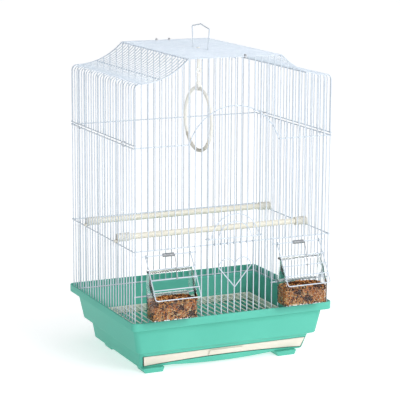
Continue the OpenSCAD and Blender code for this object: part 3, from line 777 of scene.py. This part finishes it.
def perch(node, y):
    low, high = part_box(node)
    mid_z = (low.z + high.z) / 2 / MM
    half = high.x / MM
    r = (high.z - low.z) / 2 / MM
    sides, flutes, spans = 96, 24, 60
    chamfer, chamfer_in, inset, groove_depth, clear = 0.5, 0.35, 2, 0.16, 0.06
    stations = ([-half, -half + chamfer]
                + [-half + inset + (2 * half - 2 * inset) * i / spans for i in range(spans + 1)]
                + [half - chamfer, half])
    verts = []
    for i, x in enumerate(stations):
        shrink = chamfer_in if i in (0, len(stations) - 1) else 0.0
        wander = 0.035 * math.sin(x * 0.11 + y) + 0.02 * math.sin(x * 0.37)
        for k in range(sides):
            ang = 2 * math.pi * k / sides
            groove = groove_depth * max(0.0, math.cos(flutes * ang)) ** 3
            rr = r - shrink - groove - clear + wander
            verts.append((x, y + rr * math.cos(ang), mid_z + rr * math.sin(ang)))
    faces = skin(len(stations), sides)
    faces.append(list(range(sides)))
    faces.append([(len(stations) - 1) * sides + k for k in range(sides)][::-1])
    b = Builder()
    b.add(verts, faces)
    new_object(node + "_rod", b.mesh(node + "_rod"), "cage", "perch_plastic", PERCH, node)


def perch_cap(node, side, y):
    """A ribbed cap on a perch's end, with the tongue that sits on the side rail."""
    z, r, end, depth = 239.95, 7.75, 188.95, 24.0
    rib_pitch, ribs, sides = 3.1, 6, 48
    profile = [(0.0, 2.0), (0.0, r - 0.7), (0.25, r - 0.2), (0.8, r), (2.6, r)]
    x = 2.6
    for _ in range(ribs):
        profile += [(x + 0.5, r - 0.12), (x + 0.8, r - 0.75), (x + 1.7, r - 0.75),
                    (x + 2.0, r - 0.12), (x + 2.4, r), (x + rib_pitch, r)]
        x += rib_pitch
    profile += [(x + 1.6, r), (x + 2.3, r - 0.15), (x + 2.7, r - 0.7), (x + 2.8, 5.9),
                (x + 2.2, 5.5), (4.0, 5.46), (4.0, 0.01)]
    profile = [(min(px, depth), pr) for px, pr in profile]
    verts = []
    for px, pr in profile:
        for k in range(sides):
            ang = 2 * math.pi * k / sides
            verts.append((side * (end - px), y + pr * math.cos(ang), z + pr * math.sin(ang)))
    faces = [quad if side < 0 else quad[::-1] for quad in skin(len(profile), sides)]
    cap_ring = list(range(sides))
    faces.append(cap_ring[::-1] if side < 0 else cap_ring)
    b = Builder()
    b.add(verts, faces)
    mesh = b.mesh(node + "_ribbed")
    bm = bmesh.new()
    bm.from_mesh(mesh)
    tongue = bmesh.ops.create_cube(bm, size=1.0)["verts"]
    x_in, x_out, tongue_width, tongue_height, tongue_z = end - 2.0, 193.6, 6.0, 3.2, 233.7
    for v in tongue:
        v.co = in_frame(side * ((x_in + x_out) / 2 + v.co.x * (x_out - x_in)),
                        y + v.co.y * tongue_width, tongue_z + v.co.z * tongue_height)
    edges = list({e for v in tongue for e in v.link_edges})
    bmesh.ops.bevel(bm, geom=edges, offset=0.7 * MM, segments=3, affect="EDGES", profile=0.5)
    for f in bm.faces:
        f.smooth = True
    bmesh.ops.recalc_face_normals(bm, faces=bm.faces)
    bm.to_mesh(mesh)
    bm.free()
    obj = new_object(node + "_ribbed", mesh, "cage", "perch_cap", CAP, node)
    add_smooth(obj, 50)


# ---------------------------------------------------------------- swing ring

def swing_ring():
    """The plain ring, and the ribbed grip (tone 1) along its bottom."""
    b = Builder()
    cy, cz, mid_r = 3.0, 431.0, 57.65
    ring_r, grip_r, grip_end_r, grip_half = 3.12, 3.22, 2.9, 58
    ring_steps, grip_steps, rib_steps, rib_height = 220, 420, 10, 0.11

    def on_ring(a):
        return 0, cy + mid_r * math.sin(a), cz + mid_r * math.cos(a)

    turns = [2 * math.pi * i / ring_steps for i in range(ring_steps)]
    b.lathe_path([on_ring(a) for a in turns], [ring_r + 0.03 * math.sin(5 * a) for a in turns],
                 sides=24, closed=True)
    points, radii = [], []
    for i in range(grip_steps + 1):
        points.append(on_ring(math.radians(180 - grip_half + 2 * grip_half * i / grip_steps)))
        rib = rib_height * math.cos(2 * math.pi * i / rib_steps)
        radii.append(grip_end_r if i in (0, grip_steps) else grip_r + rib)
    b.lathe_path(points, radii, sides=24, tone=1.0)
    new_object("swing_ring_grip", b.mesh("swing_ring_grip"), "swing", "swing_plastic",
               swing_ring_material("swing_ring_plastic"), "swing_ring")


# ---------------------------------------------------------------- carrying handle

def handle():
    """Two loops round the spine wire, joined by a crest over the top."""
    r = 1.2
    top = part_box("handle")[1].z / MM - r
    foot, half, mid_y = 31.5, 37.5, -5.5
    rise, swell, crest_in = 6.2, 2.2, 6
    shoulder = top - rise
    loop_r, loop_width, loop_steps = RAIL_R + r + 0.05, 1.3, 26
    b = Builder()
    crest = []
    n = 14
    for i in range(-n, n + 1):
        t = 1 - abs(i) / n
        y = mid_y + (half - crest_in) * (1 - t) * (1 if i > 0 else -1)
        crest.append(Vector((0, y, shoulder + swell * math.sin(math.pi * t) + rise * t ** 3)))
    crest[0] = Vector((0, mid_y - half, shoulder))
    crest[-1] = Vector((0, mid_y + half, shoulder))
    legs, ankles = [], []
    for s in (-1, 1):
        loop = []
        for i in range(loop_steps + 1):
            a = math.radians(90 + 360 * i / loop_steps)
            y = mid_y + s * (foot - loop_width + loop_width * i / loop_steps)
            loop.append(Vector((loop_r * math.cos(a), y, SPINE_Z + loop_r * math.sin(a))))
        legs.append(loop)
        ankles.append([loop[-1] + Vector((0, 0, 0.5)),
                       Vector((0, mid_y + s * (foot + 0.3), SPINE_Z + 6))])
    middle = rounded_path(ankles[0] + crest + ankles[1][::-1], 4.5, 5)
    b.wire(legs[0] + middle + legs[1][::-1], r, sides=16)
    new_object("handle_wire", b.mesh("handle_wire"), "handle", "white_wire", WHITE, "handle")


# ---------------------------------------------------------------- base tray

def ring(station, corner=10.0, n=9):
    """Rounded rectangle at one height; a station is (half width, half depth, middle y, z)."""
    hw, hd, cy, z = station
    c = min(corner, hw - 0.5, hd - 0.5)
    pts = []
    for qx, qy, start in ((1, 1, 0), (-1, 1, 90), (-1, -1, 180), (1, -1, 270)):
        for i in range(n):
            a = math.radians(start + 90 * i / (n - 1))
            pts.append((qx * (hw - c) + c * math.cos(a), cy + qy * (hd - c) + c * math.sin(a), z))
    return pts


def softened(stations, radii, n=4):
    """Rounds each inner corner of the wall's section."""
    def toward(q, p, r):
        length = math.dist(p, q)
        share = min(r, length * 0.45) / length
        return [b + (a - b) * share for a, b in zip(p, q)]

    out = [stations[0]]
    for p, q, s, r in zip(stations, stations[1:], stations[2:], radii):
        start, end = toward(q, p, r), toward(q, s, r)
        for i in range(n + 1):
            t = i / n
            out.append([a * (1 - t) ** 2 + b * (2 * t * (1 - t)) + c * t ** 2
                        for a, b, c in zip(start, q, end)])
    return out + [stations[-1]]


def tray():
    """The wall's section as stations from the floor, up the outside and down the inside."""
    wall, band = 2.2, 2.5
    rim_x, rim_y, rim_low, rim_top, ledge = 197.5, 160.0, 91.0, 105.0, 93.4
    floor_z, step_low, step_z = 8.0, 38.5, 43.0
    lower0, lower1 = (164.0, 114.5, 2.5), (168.4, 124.35, -2.35)
    upper0, upper1 = (178.7, 137.1, 0.0), (188.3, 144.4, 0.0)
    floor_share = (0.55, 0.55, 1, 1)

    def inner(section):
        return section[0] - wall, section[1] - wall, section[2]

    climb = rim_low - step_z
    at_ledge = tuple(a + (b - a) * climb / (ledge - step_z) for a, b in zip(upper0, upper1))
    stations = [
        (*lower0, floor_z), (*lower1, step_low), (*upper0, step_z), (*at_ledge, rim_low),
        (rim_x, rim_y, 0.0, rim_low), (rim_x, rim_y, 0.0, rim_top),
        (rim_x - band, rim_y - band, 0.0, rim_top), (rim_x - band, rim_y - band, 0.0, ledge),
        (*inner(upper1), ledge), (*inner(upper0), step_z + wall),
        (*inner(lower1), step_low + wall), (*inner(lower0), floor_z + wall),
    ]
    start = tuple(a * b for a, b in zip(floor_share, stations[0]))
    end = tuple(a * b for a, b in zip(floor_share, stations[-1]))
    radii = [1.6, 1.2, 1.8, 1.2, 0.9, 1.1, 1.0, 1.0, 1.4, 2.0, 1.4, 2.5]
    rings = [ring(tuple(row)) for row in softened([start] + stations + [end], radii)]
    m = len(rings[0])
    faces = skin(len(rings), m)
    faces.append(list(range(m))[::-1])
    faces.append([(len(rings) - 1) * m + k for k in range(m)])
    b = Builder()
    b.add([point for r in rings for point in r], faces)
    mesh = b.mesh("tray_moulding")
    face_outward(mesh)
    obj = link_object("tray_moulding", mesh)
    cut_slot(obj)
    join_trim(obj)
    obj.data.materials.clear()
    obj.data.materials.append(MINT)
    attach(obj, "base")
    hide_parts("tray")
    add_bevel(obj, 0.55, 3, 38)
    add_smooth(obj, 45)


def extruded(name, outline, y0, y1):
    """A prism along Y from an outline of (x, z) points."""
    n = len(outline)
    verts = [(x, y0, z) for x, z in outline] + [(x, y1, z) for x, z in outline]
    faces = [list(range(n)), [n + i for i in range(n)][::-1]]
    faces += [[(i + 1) % n, i, n + i, n + (i + 1) % n] for i in range(n)]
    b = Builder()
    b.add(verts, faces)
    mesh = b.mesh(name)
    face_outward(mesh)
    return link_object(name, mesh)


def bow(half, z, rise, n=24):
    """Points (x, z) on a shallow arch."""
    shares = [1 - 2 * i / n for i in range(n + 1)]
    return [(half * t, z + rise * (1 - t ** 2)) for t in shares]


def apply_boolean(obj, other, operation):
    mod = obj.modifiers.new("cut", "BOOLEAN")
    mod.operation = operation
    mod.solver = "EXACT"
    mod.object = other
    bpy.context.view_layer.update()
    dg = bpy.context.evaluated_depsgraph_get()
    result = bpy.data.meshes.new_from_object(obj.evaluated_get(dg))
    obj.modifiers.clear()
    old = obj.data
    obj.data = result
    bpy.data.meshes.remove(old)
    bpy.data.objects.remove(other)


def cut_slot(obj):
    outline = [(-163.5, 32.8), (163.5, 32.8)] + bow(159.5, 10.5, 5.5)
    apply_boolean(obj, extruded("slot_cutter", outline, -147.0, -104.0), "DIFFERENCE")


def join_trim(obj):
    """Adds the lip under the slot and the four feet to the tray's mesh."""
    bm = bmesh.new()
    bm.from_mesh(obj.data)
    wall_low, wall_high, wall_rise, floor_z = -112.0, -126.7, 30.5, 8.0
    slope = (wall_high - wall_low) / wall_rise
    lip_thickness, lip_clear, lip_top = 2.2, 0.04, 9.2

    def wall_y(z):
        return wall_low + slope * (z - floor_z)

    outline = bow(104, 8.6, -5.1)
    n = len(outline)
    layers = []
    for shift in (0.0, lip_thickness):
        for edge in (outline, [(x, lip_top) for x, _ in outline]):
            layers.append([bm.verts.new(in_frame(x, wall_y(z) + shift + lip_clear, z))
                           for x, z in edge])
    front_low, front_top, back_low, back_top = layers
    for i in range(n - 1):
        bm.faces.new([front_low[i], front_low[i + 1], front_top[i + 1], front_top[i]])
        bm.faces.new([back_low[i + 1], back_low[i], back_top[i], back_top[i + 1]])
        bm.faces.new([front_low[i + 1], front_low[i], back_low[i], back_low[i + 1]])
        bm.faces.new([front_top[i], front_top[i + 1], back_top[i + 1], back_top[i]])
    # feet: middle x and y, width, depth; wider at the top
    foot_top, foot_spread = 8.35, 3.5
    corners = ((-1, -1), (1, -1), (1, 1), (-1, 1))
    for cx, cy, w, d in ((-140.5, -102.5, 34, 34), (125, -102.5, 34, 34),
                         (-140.5, 58, 34, 30), (125, 58, 34, 30)):
        base = [bm.verts.new(in_frame(cx + sx * w / 2, cy + sy * d / 2, 0)) for sx, sy in corners]
        over = [bm.verts.new(in_frame(cx + sx * (w / 2 + foot_spread), cy + sy * d / 2, foot_top))
                for sx, sy in corners]
        bm.faces.new(base[::-1])
        bm.faces.new(over)
        for i in range(4):
            j = (i + 1) % 4
            bm.faces.new([base[i], base[j], over[j], over[i]])
    # the two runners under the drawer
    runner_x, runner_y, runner_z = 122, 5, 12.9
    for side in (-1, 1):
        box = bmesh.ops.create_cube(bm, size=1.0)["verts"]
        for v in box:
            v.co = in_frame(side * runner_x + v.co.x * 4, runner_y + v.co.y * 210,
                            runner_z + v.co.z * 7.8)
    bmesh.ops.recalc_face_normals(bm, faces=bm.faces)
    for f in bm.faces:
        f.smooth = True
    bm.to_mesh(obj.data)
    bm.free()


cage_welds()
door_welds()
rail_curls()
for guard_side in (-1, 1):
    guard(guard_side)
    guard_spring(guard_side)
    seed_mix(guard_side)
for perch_name, perch_y in (("front_perch", -67.5), ("rear_perch", 80.2)):
    perch(perch_name, perch_y)
    perch_cap(perch_name + "_left_cap", -1, perch_y)
    perch_cap(perch_name + "_right_cap", 1, perch_y)
swing_ring()
handle()
tray()


# ---------------------------------------------------------------- studio

def studio_floor():
    """A round floor that turns up into a low wall, so that low views see no horizon."""
    sides, radius, wall = 64, 30.0, 6.0
    turns = [2 * math.pi * k / sides for k in range(sides)]
    edge = [(radius * math.cos(a), radius * math.sin(a)) for a in turns]
    verts = [(x, y, 0) for x, y in edge] + [(x, y, wall) for x, y in edge]
    faces = [list(range(sides))] + [
        [(k + 1) % sides, k, sides + k, sides + (k + 1) % sides] for k in range(sides)]
    floor = link_object("studio_floor", mesh_from("studio_floor", verts, faces, smooth=False))
    mat, tree, shader = node_tree("studio_paper")
    colour_from(tree, shader, noise(tree, 30.0, 3.0),
                [(0.3, (0.71, 0.71, 0.715)), (0.7, (0.73, 0.73, 0.735))])
    shader.inputs["Roughness"].default_value = 0.9
    shader.inputs["Specular IOR Level"].default_value = 0.1
    shader.inputs["Emission Color"].default_value = (1, 1, 1, 1)
    shader.inputs["Emission Strength"].default_value = 0.59
    floor.data.materials.append(mat)


def studio_world():
    """A soft surround, brighter on the right and overhead than on the left."""
    world = bpy.data.worlds.new("studio_world")
    world.use_nodes = True
    sky = world.node_tree
    back = sky.nodes["Background"]
    coord = sky.nodes.new("ShaderNodeTexCoord")
    toward = sky.nodes.new("ShaderNodeVectorMath")
    toward.operation = "DOT_PRODUCT"
    toward.inputs[1].default_value = (0.66, -0.62, 0.42)
    sky.links.new(coord.outputs["Generated"], toward.inputs[0])
    strength = to_range(sky, toward.outputs["Value"], 0.12, 0.66, -0.5, 1.0)
    sky.links.new(strength.outputs["Result"], back.inputs["Strength"])
    back.inputs["Color"].default_value = (0.94, 0.97, 1.0, 1)
    bpy.context.scene.world = world


def area_light(name, place, target, size, power):
    data = bpy.data.lights.new(name, "AREA")
    data.shape = "RECTANGLE"
    data.size = data.size_y = size
    data.energy = power
    obj = link_object(name, data)
    obj.location = Vector(place) + SHIFT
    toward = Vector(target) - Vector(place)
    obj.rotation_euler = toward.to_track_quat("-Z", "Y").to_euler()


def sun_light(name, strength, spread, tilt):
    data = bpy.data.lights.new(name, "SUN")
    data.energy = strength
    data.angle = math.radians(spread)
    link_object(name, data).rotation_euler = [math.radians(a) for a in tilt]


def photo_camera():
    """A camera at the photograph's viewing angle."""
    data = bpy.data.cameras.new("camera")
    cam = link_object("camera", data)
    place = Vector((-1.2533, -2.7208, 0.8863)) + SHIFT
    target = Vector((0.00303, 0.0, 0.2800)) + SHIFT
    roll = math.radians(0.31)
    look = (target - place).normalized()
    level_right = look.cross(Vector(Z_AXIS)).normalized()
    level_up = level_right.cross(look).normalized()
    right = level_right * math.cos(roll) + level_up * math.sin(roll)
    up = right.cross(look).normalized()
    cam.matrix_world = Matrix((
        (right.x, up.x, -look.x, place.x),
        (right.y, up.y, -look.y, place.y),
        (right.z, up.z, -look.z, place.z),
        (0, 0, 0, 1)))
    data.sensor_width = 36
    data.lens = 148.84
    data.clip_start, data.clip_end = 0.05, 60
    bpy.context.scene.camera = cam


def studio():
    studio_floor()
    studio_world()
    area_light("key", (1.1, -3.0, 1.7), (0, 0, 0.2), 1.4, 55)
    area_light("top", (0.2, 0.1, 2.6), (0, 0, 0), 1.8, 3)
    sun_light("overhead", 0.5, 80, (8, 14, 0))
    photo_camera()
    view = bpy.context.scene.view_settings
    view.view_transform = "Standard"
    view.look = "None"


studio()
